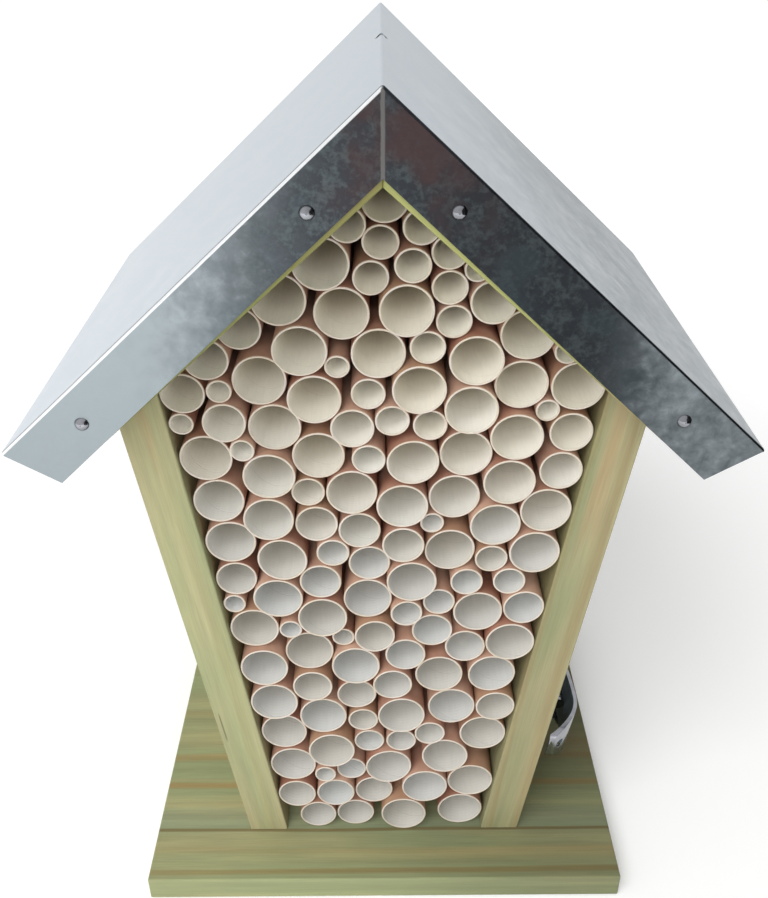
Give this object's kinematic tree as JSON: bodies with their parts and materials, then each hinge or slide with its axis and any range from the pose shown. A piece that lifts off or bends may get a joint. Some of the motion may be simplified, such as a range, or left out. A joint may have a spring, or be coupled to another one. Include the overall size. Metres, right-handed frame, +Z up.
{
  "type": "bee hotel",
  "caption": "Wooden bee hotel: leaning walls on a base board, a folded metal sheet roof, stacked paper nest tubes, a sprung draw latch and a hinged back door.",
  "frame": {"origin": "centre of the base board's underside, on the surface that it stands on", "axes": "+Z up; +Y to the back, so the open tube ends face -Y; +X to the right seen from the front"},
  "size_m": [0.1778, 0.1314, 0.2532],
  "materials": {
    "pine": "sawn, pressure-treated, pale green-yellow",
    "galvanised": "galvanised, dull with a faint spangle",
    "paper": "wound paper, white inside and brown outside",
    "bright_plate": "bright plated",
    "zinc_steel": "zinc plated"
  },
  "bodies": {
    "case": {"base_board": "pine", "base_screws": "zinc_steel", "front_roof_nails": "zinc_steel", "gable_screws": "zinc_steel", "hinge_pins": "zinc_steel", "hinge_wall_leaves": "zinc_steel", "hinge_wall_screws": "zinc_steel", "large_tubes": "paper", "latch_pivot_pin": "bright_plate", "latch_plate": "bright_plate", "latch_screws": "zinc_steel", "left_roof_board": "pine", "left_wall": "pine", "middle_tubes": "paper", "rear_gable": "pine", "rear_roof_nails": "zinc_steel", "right_roof_board": "pine", "right_wall": "pine", "roof_board_screws": "zinc_steel", "roof_sheet": "galvanised", "small_tubes": "paper", "wide_tubes": "paper"},
    "door": {"back_door": "pine", "hinge_door_leaves": "zinc_steel", "hinge_door_screws": "zinc_steel", "latch_strike": "zinc_steel", "strike_screws": "zinc_steel"},
    "lever": {"latch_lever": "bright_plate"},
    "hook": {"latch_hook": "bright_plate", "latch_trunnion": "bright_plate", "latch_springs": "bright_plate"}
  },
  "joints": [
    {"name": "door_hinge", "type": "hinge", "parent": "case", "child": "door", "pos_m": [-0.05162, 0.03675, 0.04264], "axis": [-0.1426, 0, 0.9898], "range_deg": [0, 95]},
    {"name": "latch_lever_pivot", "type": "hinge", "parent": "case", "child": "lever", "pos_m": [0.05627, 0.0106, 0.0335], "axis": [0.1426, 0, 0.9898], "range_deg": [0, 110]},
    {"name": "latch_hook_pivot", "type": "hinge", "parent": "lever", "child": "hook", "pos_m": [0.05943, 0.0026, 0.03304], "axis": [0.1426, 0, 0.9898], "range_deg": [-110, 0]}
  ],
  "couplings": [
    {"joint": "latch_hook_pivot", "follows": "latch_lever_pivot", "ratio": -1}
  ]
}
